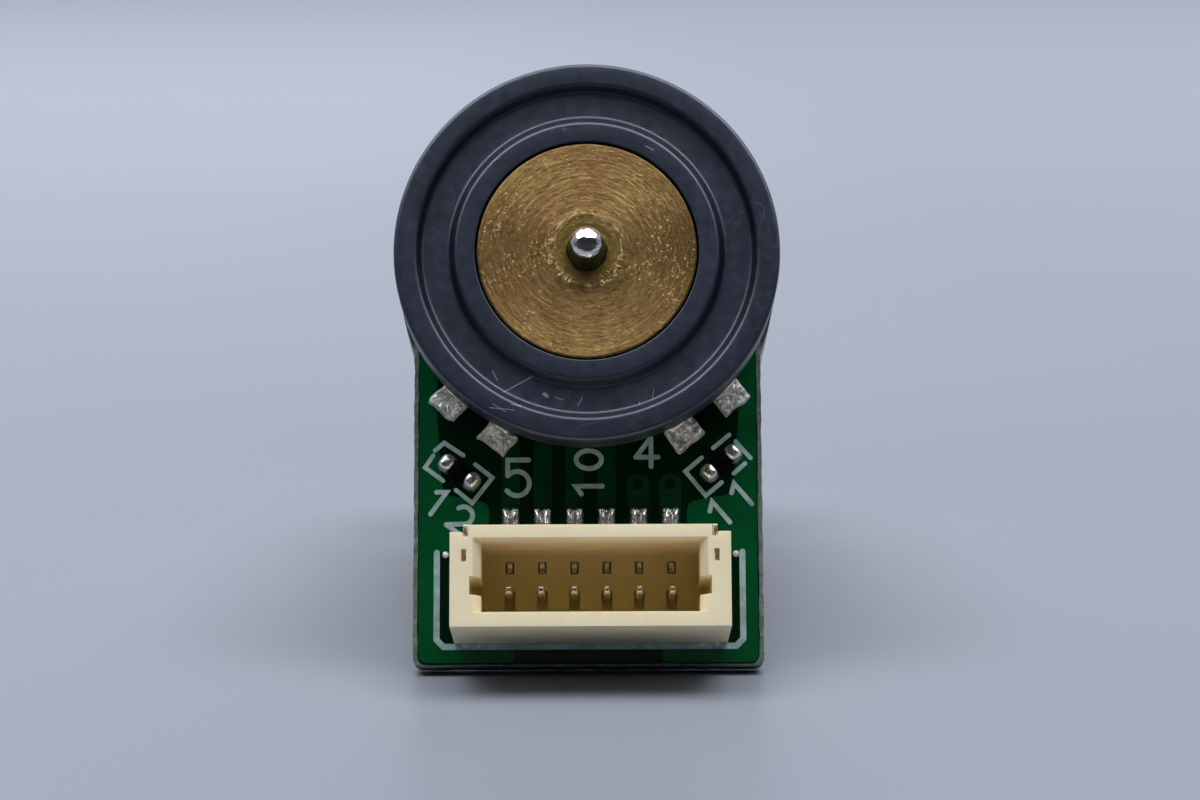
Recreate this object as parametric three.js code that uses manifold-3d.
// Miniature brushed gearmotor with a magnetic encoder on its rear shaft.
//
// Frame: millimetres, +Z up. The motor and the output shaft share the Y axis. The origin is the centre
// of the output shaft's end face and +Y points out of the shaft, so everything else lies at negative Y:
// the gearbox first, then the motor, the encoder board, and the magnet disc at the far end.
import * as THREE from "three";
import { mergeVertices } from "three/addons/utils/BufferGeometryUtils.js";
import Module from "manifold-3d";

const wasm = await Module();
wasm.setup();

// ---------------------------------------------------------------- driving dimensions
const BODY_WIDTH = 12; // across the round sides, X
const BODY_HEIGHT = 10; // across the flats, Z
const SHAFT_PROTRUSION = 9; // output shaft beyond the mounting face
const GEARBOX_LENGTH = 9;
const MOTOR_LENGTH = 15;

const SLIP = 0.03; // clearance between pieces that are pressed or moulded together
const RUN = 0.05; // radial clearance of a running fit

// Stations along the axis
const FACE_Y = -SHAFT_PROTRUSION; // mounting face
const MOTOR_FRONT_Y = FACE_Y - GEARBOX_LENGTH;
const MOTOR_REAR_Y = MOTOR_FRONT_Y - MOTOR_LENGTH;

// Output shaft
const OUTPUT_RADIUS = 1.5;
const OUTPUT_FLAT = 1.0; // axis to the flat of the D
const OUTPUT_FLAT_START = 1.2; // plain length between the face and the flat
const OUTPUT_SPIGOT_RADIUS = 0.45; // rear stub that the middle cluster turns on

// Motor shaft
const MOTOR_SHAFT_RADIUS = 0.5;

// Encoder board
const BOARD_WIDTH = 10.95;
const BOARD_THICKNESS = 1.0;
const BOARD_GAP = 0.5; // air between the motor's end cap and the board
const BOARD_BOTTOM_Z = -12.62;
const BOARD_TOP_Z = 4.95;
const BOARD_CORNER = 0.36;
const BOARD_FACE_Y = MOTOR_REAR_Y - BOARD_GAP - BOARD_THICKNESS; // the component side

// Magnet disc, as heights above the component side of the board
const DISC_RADIUS = 6.0;
const DISC_TOP = 2.85;
const DISC_THICKNESS = 1.3;
const HUB_RADIUS = 3.41;
const SHAFT_TIP = 4.15;

// Gear train: every pair is one pinion and one wheel, so all pairs share one centre distance
const MODULE = 0.2;
const PRESSURE = THREE.MathUtils.degToRad(20);
const PINION_TEETH = 9;
const WHEEL_TEETH = 24;
const PROFILE_SHIFT = 0.4;
const BACKLASH = 0.03;
const CENTRE_DISTANCE = (MODULE * (PINION_TEETH + WHEEL_TEETH)) / 2;
const ARBOR_ANGLE = THREE.MathUtils.degToRad(28); // from +X towards +Z, seen along -Y
const ARBOR_RADIUS = 0.45;
const ARBOR_X = CENTRE_DISTANCE * Math.cos(ARBOR_ANGLE);
const ARBOR_Z = CENTRE_DISTANCE * Math.sin(ARBOR_ANGLE);

// Gearbox
const FRONT_PLATE = 1.5;
const REAR_PLATE = 0.8;
const MOUNT_HOLE_X = 4.5; // M1.6 holes, 9 mm apart
const MOUNT_HOLE_RADIUS = 0.7;
const POST_X = 4.75;
const POST_Z = 3.75;
const POST_RADIUS = 0.95;
const GEARBOX_SCREW_RADIUS = 0.6;
const MOTOR_SCREW_X = 3.5;
const MOTOR_SCREW_RADIUS = 0.45;

// ---------------------------------------------------------------- materials
const paint = (color, roughness, metalness) =>
  new THREE.MeshStandardMaterial({ color, roughness, metalness });
const BRASS = paint(0xb08a4a, 0.45, 1);
const GEAR_BRASS = paint(0xc9a35a, 0.35, 1);
const STEEL = paint(0xb9bcc0, 0.3, 1);
const CAN_STEEL = paint(0xa9acb0, 0.35, 1);
const TIN = paint(0xc9c9c6, 0.4, 1);
const COPPER = paint(0xb4683c, 0.4, 1);
const FERRITE = paint(0x33363f, 0.6, 0);
const CORE_STEEL = paint(0x4c4e52, 0.5, 1);
const SINTER = paint(0x9a7b52, 0.6, 1);
const BLACK_PLASTIC = paint(0x16171a, 0.5, 0);
const CARBON = paint(0x222222, 0.8, 0);
const NYLON = paint(0xe6dcb8, 0.5, 0);
const SOLDER_MASK = paint(0x0b4a26, 0.3, 0);
const CERAMIC = paint(0xb9a48a, 0.6, 0);
const COMPOUND = paint(0x1f2c1c, 0.35, 0);

// ---------------------------------------------------------------- solids
// A closed three.js geometry as a manifold-3d solid with its faces pointing out.
function solid(geometry) {
  const flat = geometry.index ? geometry.toNonIndexed() : geometry;
  const bare = new THREE.BufferGeometry().setAttribute("position", flat.getAttribute("position"));
  const merged = mergeVertices(bare, 1e-4);
  const build = (triVerts) =>
    new wasm.Manifold(
      new wasm.Mesh({ numProp: 3, vertProperties: merged.attributes.position.array, triVerts }),
    );
  const made = build(new Uint32Array(merged.index.array));
  return made.volume() < 0 ? build(new Uint32Array(merged.index.array).reverse()) : made;
}

// The triangles of a solid as a three.js geometry.
function geometryOf(made) {
  const { numProp, numVert, vertProperties, triVerts } = made.getMesh();
  const positions = new Float32Array(numVert * 3);
  for (let i = 0; i < numVert; i++)
    positions.set(vertProperties.subarray(i * numProp, i * numProp + 3), i * 3);
  const geometry = new THREE.BufferGeometry()
    .setAttribute("position", new THREE.BufferAttribute(positions, 3))
    .setIndex(new THREE.BufferAttribute(triVerts, 1));
  geometry.computeVertexNormals();
  return geometry;
}

// A box between two corners, in X, Y, Z.
function block([x0, x1], [y0, y1], [z0, z1]) {
  return solid(
    new THREE.BoxGeometry(x1 - x0, y1 - y0, z1 - z0).translate(
      (x0 + x1) / 2,
      (y0 + y1) / 2,
      (z0 + z1) / 2,
    ),
  );
}

// A solid of revolution about the Y axis from [radius, y] pairs. A profile off the axis is closed on itself.
function turned(profile, segments = 32) {
  const points = profile.map(([r, y]) => new THREE.Vector2(r, y));
  const onAxis = profile[0][0] === 0 && profile.at(-1)[0] === 0;
  if (!onAxis) points.push(points[0].clone());
  return solid(new THREE.LatheGeometry(points, segments));
}

// A round bar along Y, centred on (x, z).
function bar(radius, [y0, y1], x = 0, z = 0, segments = 24) {
  return solid(
    new THREE.CylinderGeometry(radius, radius, y1 - y0, segments).translate(x, (y0 + y1) / 2, z),
  );
}

// A tube along Y.
function tube(outer, inner, [y0, y1], segments = 24) {
  return turned(
    [
      [outer, y0],
      [outer, y1],
      [inner, y1],
      [inner, y0],
    ],
    segments,
  );
}

// A shape drawn in X and Z, extruded along Y.
function slab(shape, [y0, y1], curveSegments = 12) {
  const geometry = new THREE.ExtrudeGeometry(shape, {
    depth: y1 - y0,
    bevelEnabled: false,
    curveSegments,
  });
  return solid(geometry.rotateX(Math.PI / 2).translate(0, y1, 0));
}

function named(name, made, material) {
  const mesh = new THREE.Mesh(geometryOf(made), material);
  mesh.name = name;
  return mesh;
}

function group(...children) {
  return new THREE.Group().add(...children);
}

// ---------------------------------------------------------------- shapes
// A circle cut by two flats, as the motor's can is, drawn with arcs on the +X and -X sides.
function barrelShape(radius, halfHeight) {
  const corner = Math.asin(halfHeight / radius);
  const shape = new THREE.Shape();
  shape.absarc(0, 0, radius, -corner, corner, false);
  shape.absarc(0, 0, radius, Math.PI - corner, Math.PI + corner, false);
  shape.closePath();
  return shape;
}

function roundedRectangle(width, height, corner) {
  const x = width / 2 - corner;
  const z = height / 2 - corner;
  const shape = new THREE.Shape();
  shape.absarc(x, -z, corner, -Math.PI / 2, 0, false);
  shape.absarc(x, z, corner, 0, Math.PI / 2, false);
  shape.absarc(-x, z, corner, Math.PI / 2, Math.PI, false);
  shape.absarc(-x, -z, corner, Math.PI, Math.PI * 1.5, false);
  shape.closePath();
  return shape;
}

// A ring sector centred on the angle `middle`, measured from +X towards +Z.
function sectorShape(outer, inner, middle, halfAngle) {
  const shape = new THREE.Shape();
  shape.absarc(0, 0, outer, middle - halfAngle, middle + halfAngle, false);
  shape.absarc(0, 0, inner, middle + halfAngle, middle - halfAngle, true);
  shape.closePath();
  return shape;
}

function polygon(points) {
  return new THREE.Shape(points.map(([x, z]) => new THREE.Vector2(x, z)));
}

// ---------------------------------------------------------------- gears
const involute = (angle) => Math.tan(angle) - angle;

// An involute spur gear outline. `phase` is the angle of one tooth's centre, from +X towards +Z.
function gearShape(teeth, shift, phase) {
  const pitch = (MODULE * teeth) / 2;
  const base = pitch * Math.cos(PRESSURE);
  const tip = pitch + MODULE * (1 + shift);
  const root = pitch - MODULE * (1.25 - shift);
  const thickness = MODULE * (Math.PI / 2 + 2 * shift * Math.tan(PRESSURE)) - BACKLASH;
  const halfAngle = (radius) => {
    const pressure = Math.acos(Math.min(1, base / radius));
    return thickness / (2 * pitch) + involute(PRESSURE) - involute(pressure);
  };
  const flank = [root, pitch, tip].map((radius) => [radius, halfAngle(Math.max(radius, base))]);
  const points = [];
  for (let tooth = 0; tooth < teeth; tooth++) {
    const centre = phase + (tooth * 2 * Math.PI) / teeth;
    for (const [radius, half] of flank) points.push([radius, centre - half]);
    for (const [radius, half] of [...flank].reverse()) points.push([radius, centre + half]);
  }
  return polygon(points.map(([r, a]) => [r * Math.cos(a), r * Math.sin(a)]));
}

// The phase that puts a driven gear in mesh: a gap of the driven gear faces a tooth of the driver.
// `direction` is the angle from the driver's centre to the driven gear's centre.
function meshPhase(driverTeeth, driverPhase, drivenTeeth, direction) {
  const pitchesPast = ((direction - driverPhase) * driverTeeth) / (2 * Math.PI);
  return direction + Math.PI - ((0.5 - pitchesPast) * 2 * Math.PI) / drivenTeeth;
}

const wheelShape = (phase) => gearShape(WHEEL_TEETH, -PROFILE_SHIFT, phase);
const pinionShape = (phase) => gearShape(PINION_TEETH, PROFILE_SHIFT, phase);

// A wheel with its pinion on one side, bored to turn on a pin.
function cluster(wheelPhase, [wheelFrom, wheelTo], pinionTo, bore) {
  const span = [wheelFrom, pinionTo];
  return slab(wheelShape(wheelPhase), [wheelFrom, wheelTo])
    .add(slab(pinionShape(0), span))
    .subtract(bar(bore, [span[0] - 1, span[1] + 1], 0, 0, 16));
}

// ---------------------------------------------------------------- gearbox
const GEAR_WIDTH = 0.8;
const GEAR_GAP = 0.25; // between neighbours along one axis
const REAR_PLATE_Y = MOTOR_FRONT_Y + REAR_PLATE; // inner face of the rear plate
const FRONT_PLATE_Y = FACE_Y - FRONT_PLATE; // inner face of the front plate
const MOTOR_PINION = [REAR_PLATE_Y + 0.2, REAR_PLATE_Y + 1.3];
const WHEEL_A = [REAR_PLATE_Y + 0.3, REAR_PLATE_Y + 0.3 + GEAR_WIDTH];
const WHEEL_B = [MOTOR_PINION[1] + GEAR_GAP, MOTOR_PINION[1] + GEAR_GAP + GEAR_WIDTH];
const PINION_A_END = WHEEL_B[1] + 0.1;
const WHEEL_C = [PINION_A_END + GEAR_GAP, PINION_A_END + GEAR_GAP + GEAR_WIDTH];
const PINION_B_END = WHEEL_C[1] + 0.1;
const WHEEL_D = [PINION_B_END + GEAR_GAP, PINION_B_END + GEAR_GAP + 1.3];
const PINION_C_END = WHEEL_D[1] + 0.1;
const WASHER = [FRONT_PLATE_Y - 0.3, FRONT_PLATE_Y - 0.05];
const SPACER_SCREWS = [
  ["left", -POST_X, POST_Z],
  ["right", POST_X, -POST_Z],
];

const toArbor = ARBOR_ANGLE; // direction from the main axis to the arbor
const toAxis = ARBOR_ANGLE + Math.PI;
const phaseA = meshPhase(PINION_TEETH, 0, WHEEL_TEETH, toArbor);
const phaseB = meshPhase(PINION_TEETH, 0, WHEEL_TEETH, toAxis);

function plateShape() {
  return roundedRectangle(BODY_WIDTH, BODY_HEIGHT, 0.9);
}

// A countersunk, slotted screw whose head is flush with y = `headY` and whose shank runs to `endY`.
function countersunkScrew(headY, endY, headRadius, shankRadius) {
  const towards = Math.sign(endY - headY);
  const coneLength = headRadius - shankRadius;
  const profile = [
    [0, headY],
    [headRadius, headY],
    [headRadius, headY + towards * 0.1],
    [shankRadius, headY + towards * (0.1 + coneLength)],
    [shankRadius, endY],
    [0, endY],
  ];
  const slotDepth = 0.25;
  const slotY = [headY - slotDepth, headY + slotDepth];
  const slot = block([-headRadius, headRadius], slotY, [-0.13, 0.13]);
  return turned(profile, 24).subtract(slot);
}

// The hole that such a screw sits in, with clearance all round.
function countersink(headY, endY, headRadius, shankRadius) {
  const towards = Math.sign(endY - headY);
  const coneLength = headRadius - shankRadius;
  return turned(
    [
      [0, headY - towards],
      [headRadius + SLIP, headY - towards],
      [headRadius + SLIP, headY + towards * 0.12],
      [shankRadius + SLIP, headY + towards * (0.12 + coneLength)],
      [shankRadius + SLIP, endY + towards],
      [0, endY + towards],
    ],
    24,
  );
}

const GEARBOX_SCREW_HEAD = 0.95;
const MOTOR_SCREW_HEAD = 0.8;
const MOTOR_SCREW_END = MOTOR_FRONT_Y - 0.9;

function frontPlate() {
  let plate = slab(plateShape(), [FRONT_PLATE_Y, FACE_Y], 4);
  plate = plate.subtract(bar(2 + SLIP, [FRONT_PLATE_Y - 1, FACE_Y + 1], 0, 0, 32));
  for (const side of [-1, 1])
    plate = plate.subtract(
      bar(MOUNT_HOLE_RADIUS, [FRONT_PLATE_Y - 1, FACE_Y + 1], side * MOUNT_HOLE_X, 0, 24),
    );
  for (const [, x, z] of SPACER_SCREWS)
    plate = plate.subtract(
      countersink(FACE_Y, FRONT_PLATE_Y, GEARBOX_SCREW_HEAD, GEARBOX_SCREW_RADIUS).translate(
        x,
        0,
        z,
      ),
    );
  const arborHole = bar(ARBOR_RADIUS + SLIP, [FRONT_PLATE_Y - 1, FACE_Y + 1], ARBOR_X, ARBOR_Z, 16);
  return plate.subtract(arborHole);
}

function rearPlate() {
  let plate = slab(plateShape(), [MOTOR_FRONT_Y, REAR_PLATE_Y], 4);
  const through = [MOTOR_FRONT_Y - 1, REAR_PLATE_Y + 1];
  plate = plate.subtract(bar(1.55, through, 0, 0, 32));
  plate = plate.subtract(bar(ARBOR_RADIUS + SLIP, through, ARBOR_X, ARBOR_Z, 16));
  for (const [, x, z] of SPACER_SCREWS)
    plate = plate.subtract(bar(GEARBOX_SCREW_RADIUS + SLIP, through, x, z, 24));
  for (const side of [-1, 1])
    plate = plate.subtract(
      countersink(REAR_PLATE_Y, MOTOR_FRONT_Y, MOTOR_SCREW_HEAD, MOTOR_SCREW_RADIUS).translate(
        side * MOTOR_SCREW_X,
        0,
        0,
      ),
    );
  return plate;
}

// The output shaft: a D beyond the face, a plain journal in the bush, and a thin spigot at the rear.
function outputShaft() {
  const shoulder = WHEEL_D[0];
  const chamfer = 0.25;
  const shaft = turned(
    [
      [0, WHEEL_B[0] - 0.1],
      [OUTPUT_SPIGOT_RADIUS, WHEEL_B[0] - 0.1],
      [OUTPUT_SPIGOT_RADIUS, shoulder],
      [OUTPUT_RADIUS, shoulder],
      [OUTPUT_RADIUS, -chamfer],
      [OUTPUT_RADIUS - chamfer, 0],
      [0, 0],
    ],
    40,
  );
  const flat = block(
    [-OUTPUT_RADIUS - 1, OUTPUT_RADIUS + 1],
    [FACE_Y + OUTPUT_FLAT_START, 1],
    [OUTPUT_FLAT, OUTPUT_RADIUS + 1],
  );
  return shaft.subtract(flat);
}

function outputGear() {
  const hub = bar(1.95, [WHEEL_D[0], WASHER[0] - 0.05], 0, 0, 32);
  return slab(wheelShape(phaseB), WHEEL_D)
    .add(hub)
    .subtract(bar(OUTPUT_RADIUS + SLIP, [WHEEL_D[0] - 1, FACE_Y], 0, 0, 40));
}

// The bush is pressed through the front plate and stands proud of the mounting face.
function outputBush() {
  const bore = OUTPUT_RADIUS + RUN;
  return turned(
    [
      [bore, FRONT_PLATE_Y],
      [2, FRONT_PLATE_Y],
      [2, FACE_Y + 0.6],
      [1.85, FACE_Y + 0.75],
      [bore, FACE_Y + 0.75],
    ],
    40,
  );
}

function gearboxFrame() {
  const screws = SPACER_SCREWS.map(([side, x, z]) => {
    const screw = countersunkScrew(
      FACE_Y,
      MOTOR_FRONT_Y + 0.1,
      GEARBOX_SCREW_HEAD,
      GEARBOX_SCREW_RADIUS,
    );
    const spacer = tube(
      POST_RADIUS,
      GEARBOX_SCREW_RADIUS + RUN,
      [REAR_PLATE_Y + SLIP, FRONT_PLATE_Y - SLIP],
    );
    const corner = group(
      named(`gearbox_screw_${side}`, screw, STEEL),
      named(`gearbox_spacer_${side}`, spacer, BRASS),
    );
    corner.position.set(x, 0, z);
    return corner;
  });
  const motorScrews = [-1, 1].map((side) => {
    const screw = named(
      `motor_screw_${side < 0 ? "left" : "right"}`,
      countersunkScrew(REAR_PLATE_Y - 0.02, MOTOR_SCREW_END, MOTOR_SCREW_HEAD, MOTOR_SCREW_RADIUS),
      STEEL,
    );
    screw.position.x = side * MOTOR_SCREW_X;
    return screw;
  });
  const collarSpan = [PINION_C_END + 0.05, FRONT_PLATE_Y - 0.05];
  const arbor = group(
    named("arbor_pin", bar(ARBOR_RADIUS, [MOTOR_FRONT_Y + 0.05, FACE_Y - 0.05], 0, 0, 16), STEEL),
    named("arbor_collar", tube(0.85, ARBOR_RADIUS + SLIP, collarSpan, 20), BRASS),
  );
  arbor.position.set(ARBOR_X, 0, ARBOR_Z);
  return group(
    named("gearbox_front_plate", frontPlate(), BRASS),
    named("gearbox_rear_plate", rearPlate(), BRASS),
    named("output_bush", outputBush(), SINTER),
    ...screws,
    ...motorScrews,
    arbor,
  );
}

function gearTrain() {
  const arborBore = ARBOR_RADIUS + RUN;
  const spigotBore = OUTPUT_SPIGOT_RADIUS + RUN;
  const clusterA = named(
    "gear_cluster_first",
    cluster(phaseA, WHEEL_A, PINION_A_END, arborBore),
    GEAR_BRASS,
  );
  const clusterC = named(
    "gear_cluster_third",
    cluster(phaseA, WHEEL_C, PINION_C_END, arborBore),
    GEAR_BRASS,
  );
  clusterA.position.set(ARBOR_X, 0, ARBOR_Z);
  clusterC.position.set(ARBOR_X, 0, ARBOR_Z);
  const clusterB = cluster(phaseB, WHEEL_B, PINION_B_END, spigotBore);
  return group(
    clusterA,
    named("gear_cluster_second", clusterB, GEAR_BRASS),
    clusterC,
    named("output_gear", outputGear(), GEAR_BRASS),
    named("output_shaft", outputShaft(), STEEL),
    named("thrust_washer", tube(2.3, OUTPUT_RADIUS + SLIP, WASHER, 32), STEEL),
  );
}

// ---------------------------------------------------------------- motor
const CAN_WALL = 0.5;
const CAP_LENGTH = 1.6; // visible length of the end cap
const CAP_FRONT_Y = MOTOR_REAR_Y + CAP_LENGTH;
const CAN_INNER_RADIUS = BODY_WIDTH / 2 - CAN_WALL;
const CAN_INNER_HEIGHT = BODY_HEIGHT / 2 - CAN_WALL;
const BEARING_RADIUS = 1.5;
const TERMINAL_X = 4.3;
const TERMINAL_TIP = 0.55; // above the component side of the board
const MAGNET_SPAN = [MOTOR_REAR_Y + 4.5, MOTOR_FRONT_Y - 1.5];
const CORE_SPAN = [MOTOR_REAR_Y + 5.2, MOTOR_FRONT_Y - 2.4];
const CORE_RADIUS = 4.05;
const COMMUTATOR_SPAN = [MOTOR_REAR_Y + 2.2, MOTOR_REAR_Y + 4.2];
const COMMUTATOR_RADIUS = 1.15;
const POLES = 3;

function motorCan() {
  const outer = slab(barrelShape(BODY_WIDTH / 2, BODY_HEIGHT / 2), [CAP_FRONT_Y, MOTOR_FRONT_Y]);
  const cavity = slab(barrelShape(CAN_INNER_RADIUS, CAN_INNER_HEIGHT), [
    CAP_FRONT_Y - 1,
    MOTOR_FRONT_Y - CAN_WALL,
  ]);
  const nose = [MOTOR_FRONT_Y - 1, MOTOR_FRONT_Y + 1];
  const boss = bar(2, [MOTOR_FRONT_Y - 1.3, MOTOR_FRONT_Y - 0.1], 0, 0, 32);
  let can = outer.subtract(cavity).add(boss);
  can = can.subtract(bar(BEARING_RADIUS + SLIP, [nose[0] - 1, nose[1]], 0, 0, 32));
  for (const side of [-1, 1])
    can = can.subtract(bar(MOTOR_SCREW_RADIUS + SLIP, nose, side * MOTOR_SCREW_X, 0, 16));
  return can;
}

function endCap() {
  const flange = slab(barrelShape(BODY_WIDTH / 2, BODY_HEIGHT / 2), [MOTOR_REAR_Y, CAP_FRONT_Y]);
  const spigot = slab(barrelShape(CAN_INNER_RADIUS - RUN, CAN_INNER_HEIGHT - RUN), [
    MOTOR_REAR_Y + 1,
    CAP_FRONT_Y + 1,
  ]);
  const hollow = slab(barrelShape(CAN_INNER_RADIUS - 0.7, CAN_INNER_HEIGHT - 0.7), [
    MOTOR_REAR_Y + 0.9,
    CAP_FRONT_Y + 2,
  ]);
  const boss = bar(2.2, [MOTOR_REAR_Y - 0.35, MOTOR_REAR_Y + 1.2], 0, 0, 32);
  let cap = flange.add(spigot).subtract(hollow).add(boss);
  cap = cap.subtract(bar(BEARING_RADIUS + SLIP, [MOTOR_REAR_Y - 1, MOTOR_REAR_Y + 3], 0, 0, 32));
  for (const side of [-1, 1]) {
    const x = side * TERMINAL_X;
    cap = cap.subtract(
      block([x - 0.2, x + 0.2], [MOTOR_REAR_Y - 1, CAP_FRONT_Y + 2], [-0.85, 0.85]),
    );
  }
  return cap;
}

function bearing(span) {
  return tube(BEARING_RADIUS, MOTOR_SHAFT_RADIUS + RUN, span, 32);
}

// One armature lamination outline: a hub, three necks and three shoes.
function coreShape() {
  const neck = 0.6;
  const hub = 1.3;
  const shoeInner = 3.4;
  const shoeHalf = THREE.MathUtils.degToRad(50);
  const between = (2 * Math.PI) / POLES;
  const neckAt = (radius) => Math.asin(neck / radius);
  const shape = new THREE.Shape();
  for (let pole = 0; pole < POLES; pole++) {
    const middle = Math.PI / 2 + pole * between;
    shape.absarc(0, 0, hub, middle - between + neckAt(hub), middle - neckAt(hub), false);
    shape.absarc(0, 0, shoeInner, middle - neckAt(shoeInner), middle - shoeHalf, true);
    shape.absarc(0, 0, CORE_RADIUS, middle - shoeHalf, middle + shoeHalf, false);
    shape.absarc(0, 0, shoeInner, middle + shoeHalf, middle + neckAt(shoeInner), true);
  }
  shape.closePath();
  return shape;
}

// One coil, wound round the neck of a pole that points along +Z.
function coil() {
  const overhang = 0.7;
  const outline = [
    [1.0, 1.4],
    [2.2, 1.9],
    [2.1, 2.5],
    [1.2, 3.05],
  ];
  const mirrored = outline.map(([x, z]) => [-x, z]).reverse();
  const span = [CORE_SPAN[0] - overhang, CORE_SPAN[1] + overhang];
  const window = block([-0.65, 0.65], [CORE_SPAN[0] - RUN, CORE_SPAN[1] + RUN], [0, 5]);
  return slab(polygon([...outline, ...mirrored]), span).subtract(window);
}

function armature() {
  const bore = MOTOR_SHAFT_RADIUS + SLIP;
  const core = slab(coreShape(), CORE_SPAN, 4).subtract(
    bar(bore, [CORE_SPAN[0] - 1, CORE_SPAN[1] + 1], 0, 0, 20),
  );
  const pieces = [named("armature_core", core, CORE_STEEL)];
  for (let pole = 0; pole < POLES; pole++) {
    const wound = named(`armature_coil_${pole + 1}`, coil(), COPPER);
    wound.rotation.y = (pole * 2 * Math.PI) / POLES;
    pieces.push(wound);
    const middle = Math.PI / 2 + ((pole + 0.5) * 2 * Math.PI) / POLES;
    const segment = slab(
      sectorShape(COMMUTATOR_RADIUS, 0.93, middle, THREE.MathUtils.degToRad(56)),
      COMMUTATOR_SPAN,
      6,
    );
    pieces.push(named(`commutator_segment_${pole + 1}`, segment, COPPER));
  }
  pieces.push(
    named(
      "commutator_sleeve",
      tube(0.9, bore, [COMMUTATOR_SPAN[0], CORE_SPAN[0] - SLIP]),
      BLACK_PLASTIC,
    ),
  );
  return group(...pieces);
}

// One brush and its leaf arm. The upper pair stands as drawn; half a turn about the axis gives the lower.
// The arm's foot lies along the inner side of the terminal, which feeds it.
function brushPair(side, turn) {
  const y = [COMMUTATOR_SPAN[0] + 0.4, COMMUTATOR_SPAN[1] - 0.4];
  const leaf = [2.23, 2.38];
  const footX = [-TERMINAL_X + 0.2, -TERMINAL_X + 0.35];
  const brush = block([-0.6, 0.6], y, [COMMUTATOR_RADIUS + SLIP, leaf[0] - SLIP]);
  const arm = block([footX[0], 2.6], y, leaf);
  const foot = block(footX, [MOTOR_REAR_Y + 1, y[1]], [-0.7, leaf[1]]);
  const pair = group(
    named(`carbon_brush_${side}`, brush, CARBON),
    named(`brush_arm_${side}`, arm.add(foot), COPPER),
  );
  pair.rotation.y = turn;
  return pair;
}

function motorFrame() {
  const arcHalf = THREE.MathUtils.degToRad(48);
  const magnets = [-1, 1].map((side) =>
    named(
      `field_magnet_${side < 0 ? "left" : "right"}`,
      slab(
        sectorShape(CAN_INNER_RADIUS - RUN, CORE_RADIUS + 0.25, side < 0 ? Math.PI : 0, arcHalf),
        MAGNET_SPAN,
      ),
      FERRITE,
    ),
  );
  const clip = block([-2.75, 2.75], [MAGNET_SPAN[0] + 1, MAGNET_SPAN[0] + 1.6], [4.15, 4.4]);
  const terminals = [-1, 1].map((side) => {
    const x = side * TERMINAL_X;
    return named(
      `motor_terminal_${side < 0 ? "left" : "right"}`,
      block(
        [x - 0.15, x + 0.15],
        [BOARD_FACE_Y - TERMINAL_TIP, CAP_FRONT_Y + 0.4],
        [-0.75, 0.75],
      ),
      TIN,
    );
  });
  return group(
    named("motor_can", motorCan(), CAN_STEEL),
    named("end_cap", endCap(), BLACK_PLASTIC),
    named("front_bearing", bearing([MOTOR_FRONT_Y - 1.4, MOTOR_FRONT_Y + 0.6]), SINTER),
    named("rear_bearing", bearing([MOTOR_REAR_Y - 0.3, MOTOR_REAR_Y + 1.4]), SINTER),
    named("magnet_clip", clip, STEEL),
    ...magnets,
    ...terminals,
    brushPair("upper", 0),
    brushPair("lower", Math.PI),
  );
}

// ---------------------------------------------------------------- encoder
const above = (height) => BOARD_FACE_Y - height; // height over the component side of the board
const SENSOR_ANGLES = { left: 37, right: -38.6 }; // degrees from straight down
const SENSOR_RADIUS = 4.9;
const SENSOR_LEAD_PITCH = 1.9;
const SENSOR_HEIGHT = 1.0;

function encoderBoard() {
  const half = BOARD_WIDTH / 2;
  const topCorner = Math.asin(BOARD_TOP_Z / half);
  const bottom = BOARD_BOTTOM_Z + BOARD_CORNER;
  const shape = new THREE.Shape();
  shape.absarc(half - BOARD_CORNER, bottom, BOARD_CORNER, -Math.PI / 2, 0, false);
  shape.absarc(0, 0, half, 0, topCorner, false);
  shape.absarc(0, 0, half, Math.PI - topCorner, Math.PI, false);
  shape.absarc(-half + BOARD_CORNER, bottom, BOARD_CORNER, Math.PI, Math.PI * 1.5, false);
  shape.closePath();
  const span = [BOARD_FACE_Y, BOARD_FACE_Y + BOARD_THICKNESS];
  const through = [span[0] - 1, span[1] + 1];
  let board = slab(shape, span, 6).subtract(bar(1.4, through, 0, 0, 32));
  for (const side of [-1, 1]) {
    const x = side * TERMINAL_X;
    board = board.subtract(block([x - 0.3, x + 0.3], through, [-0.95, 0.95]));
  }
  for (const x of [1.57, 2.72]) board = board.subtract(bar(0.16, through, x, -6.89, 12));
  return board;
}

// A three-lead sensor package. It stands straight below the axis; a group turns it to its place.
function hallSensor() {
  const bodyHalf = 0.65;
  let made = block([-1.45, 1.45], [above(SENSOR_HEIGHT), above(0.08)], [
    -SENSOR_RADIUS - bodyHalf,
    -SENSOR_RADIUS + bodyHalf,
  ]);
  const lead = (x, out) => {
    const z = (near, far) => {
      const a = -SENSOR_RADIUS + out * near;
      const b = -SENSOR_RADIUS + out * far;
      return [Math.min(a, b), Math.max(a, b)];
    };
    const width = [x - 0.2, x + 0.2];
    return block(width, [above(0.55), above(0.43)], z(0.5, 0.95))
      .add(block(width, [above(0.55), above(0.02)], z(0.85, 0.97)))
      .add(block(width, [above(0.14), above(0.02)], z(0.85, 1.22)));
  };
  for (const x of [-SENSOR_LEAD_PITCH / 2, SENSOR_LEAD_PITCH / 2]) made = made.add(lead(x, -1));
  return made.add(lead(0, 1));
}

// A chip resistor or capacitor lying along X, centred on its own origin in X and Z.
function chip(height) {
  return block([-0.5, 0.5], [above(height), above(0.03)], [-0.25, 0.25]);
}

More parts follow.
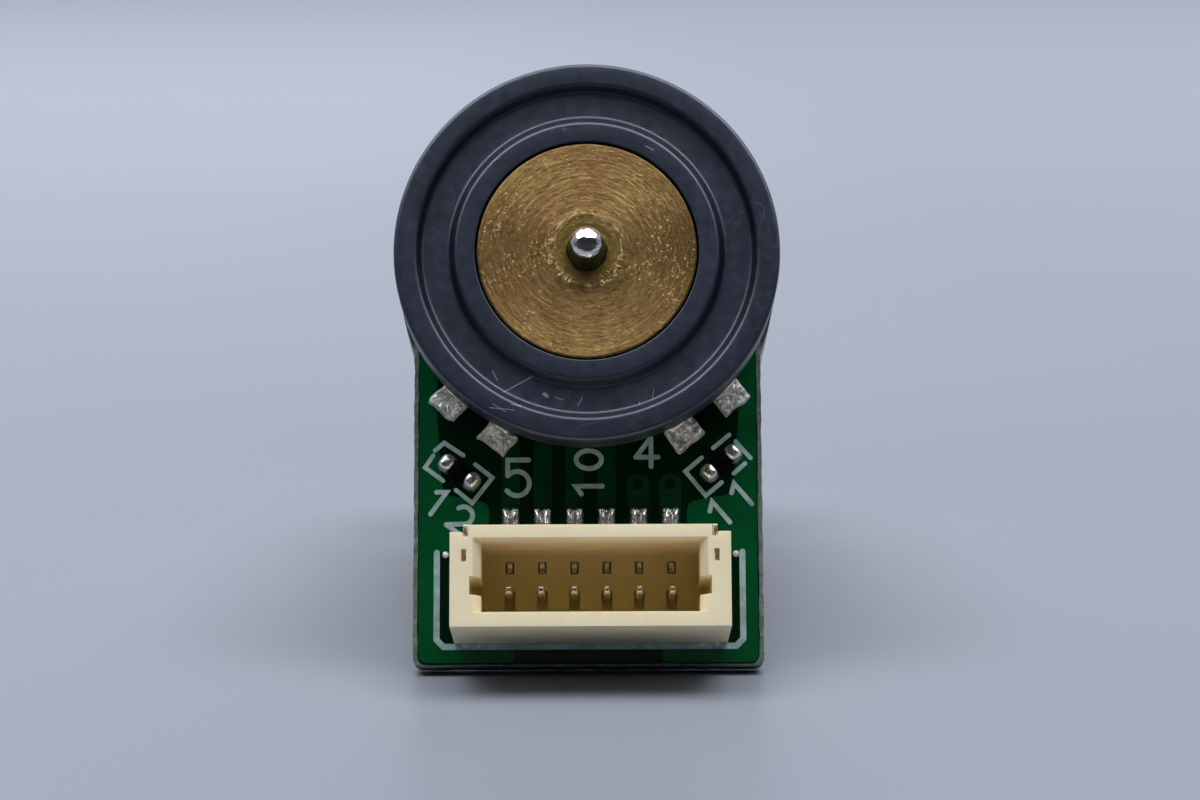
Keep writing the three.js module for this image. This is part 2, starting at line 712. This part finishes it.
const CONNECTOR_X = 0.08;
const HOUSING_WIDTH = 8.5;
const HOUSING_TOP_Z = -8.8;
const HOUSING_BOTTOM_Z = -11.9;
const HOUSING_HEIGHT = 4.0; // above the board
const CAVITY_HALF = 3.31;
const CAVITY_Z = [-11.42, -9.27];
const FLOOR_HEIGHT = 1.0;
const PIN_PITCH = 1.0;
const PIN_COUNT = 6;
const POST_AT_Z = -10.62;
const STUB_AT_Z = -9.68;
const NAIL_X = 3.78;
const CORNER_STEP_X = 3.82; // beyond this the housing's upper corners step down

const pinX = (index) => (index - (PIN_COUNT - 1) / 2) * PIN_PITCH;

// The channel that one contact lies in, grown by `gap` on every side; with no gap it is the contact itself.
function contact(index, gap) {
  const x = [pinX(index) - 0.11 - gap, pinX(index) + 0.11 + gap];
  const reach = (low, high) => [above(high + gap), above(low - gap)];
  const wide = (middle, half) => [middle - half - gap, middle + half + gap];
  const tail = block(x, reach(0.14, 0.36), [POST_AT_Z - 0.13 - gap, HOUSING_TOP_Z + 0.5]);
  const knee = block(x, reach(0.02, 0.36), [HOUSING_TOP_Z + 0.3, HOUSING_TOP_Z + 0.5]);
  const foot = block(x, reach(0.02, 0.2), [HOUSING_TOP_Z + 0.3, HOUSING_TOP_Z + 0.95]);
  const post = block(x, reach(0.2, 2.9), wide(POST_AT_Z, 0.13));
  const stub = block(x, reach(0.2, FLOOR_HEIGHT + 0.03), wide(STUB_AT_Z, 0.17));
  return tail.add(knee).add(foot).add(post).add(stub);
}

// A hold-down nail: a blade in the housing's end wall, with a foot on the board beside it.
function nail(side, gap) {
  const x = side * NAIL_X;
  const blade = block(
    [x - 0.08 - gap, x + 0.08 + gap],
    [above(3.85 + gap), above(0.02)],
    [-9.9 - gap, HOUSING_TOP_Z + 0.05 + gap],
  );
  const inner = x;
  const outer = side * 4.62;
  const foot = block(
    [Math.min(inner, outer) - gap, Math.max(inner, outer) + gap],
    [above(0.17 + gap), above(0.02)],
    [-9.25 - gap, -8.98 + gap],
  );
  return blade.add(foot);
}

function connectorHousing() {
  const half = HOUSING_WIDTH / 2;
  const rim = above(HOUSING_HEIGHT);
  let housing = block([-half, half], [rim, above(0.05)], [HOUSING_BOTTOM_Z, HOUSING_TOP_Z]);
  housing = housing.subtract(
    block([-CAVITY_HALF, CAVITY_HALF], [rim - 1, above(FLOOR_HEIGHT)], CAVITY_Z),
  );
  for (const side of [-1, 1]) {
    const span = (a, b) => [Math.min(side * a, side * b), Math.max(side * a, side * b)];
    const guide = block(span(3, 3.66), [rim - 1, above(FLOOR_HEIGHT)], [-10.93, -10.36]);
    const notch = block(span(CORNER_STEP_X, 5), [rim - 1, above(-1)], [-9.03, HOUSING_TOP_Z + 1]);
    housing = housing.subtract(guide).subtract(notch).subtract(nail(side, SLIP));
  }
  for (let i = 0; i < PIN_COUNT; i++) housing = housing.subtract(contact(i, SLIP));
  return housing;
}

function connector() {
  const pieces = [named("connector_housing", connectorHousing(), NYLON)];
  for (let i = 0; i < PIN_COUNT; i++)
    pieces.push(named(`connector_contact_${i + 1}`, contact(i, 0), TIN));
  for (const side of [-1, 1])
    pieces.push(named(`connector_nail_${side < 0 ? "left" : "right"}`, nail(side, 0), TIN));
  const whole = group(...pieces);
  whole.position.x = CONNECTOR_X;
  return whole;
}

const CHANNEL_DEPTH = 0.28;

// The disc's encoder side: a flat rim and a flat inner ring with a shallow channel sunk between them.
function magnetRing() {
  const y = above(DISC_TOP);
  const back = above(DISC_TOP - DISC_THICKNESS);
  const bore = HUB_RADIUS + SLIP;
  return turned(
    [
      [bore, back],
      [bore, y + 0.05],
      [bore + 0.05, y],
      [4.07, y],
      [4.33, y + CHANNEL_DEPTH],
      [5.09, y + CHANNEL_DEPTH],
      [5.32, y],
      [DISC_RADIUS - 0.07, y],
      [DISC_RADIUS, y + 0.07],
      [DISC_RADIUS, back - 0.07],
      [DISC_RADIUS - 0.07, back],
    ],
    48,
  );
}

const HUB_FACE_Y = above(DISC_TOP) + 0.03;
const COUNTERSINK_RADIUS = 1.12;
const COUNTERSINK_DEPTH = 0.3;

function magnetHub() {
  const y = HUB_FACE_Y;
  const bore = MOTOR_SHAFT_RADIUS + SLIP;
  const back = above(DISC_TOP - DISC_THICKNESS) - 0.05;
  return turned(
    [
      [bore, above(0.85)],
      [bore, y + COUNTERSINK_DEPTH],
      [COUNTERSINK_RADIUS, y],
      [HUB_RADIUS - 0.05, y],
      [HUB_RADIUS, y + 0.05],
      [HUB_RADIUS, back],
      [1.4, back],
      [1.4, above(0.85)],
    ],
    48,
  );
}

// A ring of cured retaining compound lies in the hub's countersink, round the shaft.
function retainingCompound() {
  const inner = MOTOR_SHAFT_RADIUS + 0.02;
  return turned(
    [
      [inner, HUB_FACE_Y + COUNTERSINK_DEPTH - 0.04],
      [0.72, HUB_FACE_Y + 0.16],
      [0.62, HUB_FACE_Y + 0.09],
      [inner, HUB_FACE_Y],
    ],
    24,
  );
}

// The motor shaft runs from the domed tip beyond the disc to the end of the motor pinion.
function motorShaft() {
  const tip = above(SHAFT_TIP);
  const dome = 0.4;
  const profile = [[0, tip]];
  for (let i = 1; i <= 4; i++) {
    const angle = (i * Math.PI) / 8;
    profile.push([MOTOR_SHAFT_RADIUS * Math.sin(angle), tip + dome * (1 - Math.cos(angle))]);
  }
  profile.push([MOTOR_SHAFT_RADIUS, MOTOR_PINION[1]], [0, MOTOR_PINION[1]]);
  return turned(profile, 24);
}

function rotor() {
  const pinion = slab(pinionShape(0), MOTOR_PINION).subtract(
    bar(MOTOR_SHAFT_RADIUS + SLIP, [MOTOR_PINION[0] - 1, MOTOR_PINION[1] + 1], 0, 0, 24),
  );
  return group(
    named("magnet_ring", magnetRing(), FERRITE),
    named("magnet_hub", magnetHub(), BRASS),
    named("retaining_compound", retainingCompound(), COMPOUND),
    named("motor_shaft", motorShaft(), STEEL),
    named("motor_pinion", pinion, GEAR_BRASS),
    armature(),
  );
}

// Puts a board component at (x, z), turned about the Y axis by some degrees.
function placed(mesh, x, z, degrees) {
  mesh.position.set(x, 0, z);
  mesh.rotation.y = THREE.MathUtils.degToRad(degrees);
  return mesh;
}

function encoderElectronics() {
  const sensors = Object.entries(SENSOR_ANGLES).map(([side, degrees]) =>
    placed(named(`hall_sensor_${side}`, hallSensor(), BLACK_PLASTIC), 0, 0, degrees),
  );
  return group(
    named("encoder_board", encoderBoard(), SOLDER_MASK),
    ...sensors,
    placed(named("resistor_left", chip(0.36), BLACK_PLASTIC), -4.03, -6.51, 36.5),
    placed(named("resistor_right", chip(0.36), BLACK_PLASTIC), 4.18, -6.25, -40),
    placed(named("capacitor", chip(0.5), CERAMIC), 0, -4.75, 0),
    connector(),
  );
}

// ---------------------------------------------------------------- the gearmotor
const gearmotor = group(
  gearboxFrame(),
  gearTrain(),
  motorFrame(),
  encoderElectronics(),
  rotor(),
);
gearmotor.name = "encoder_gearmotor";

export default gearmotor;
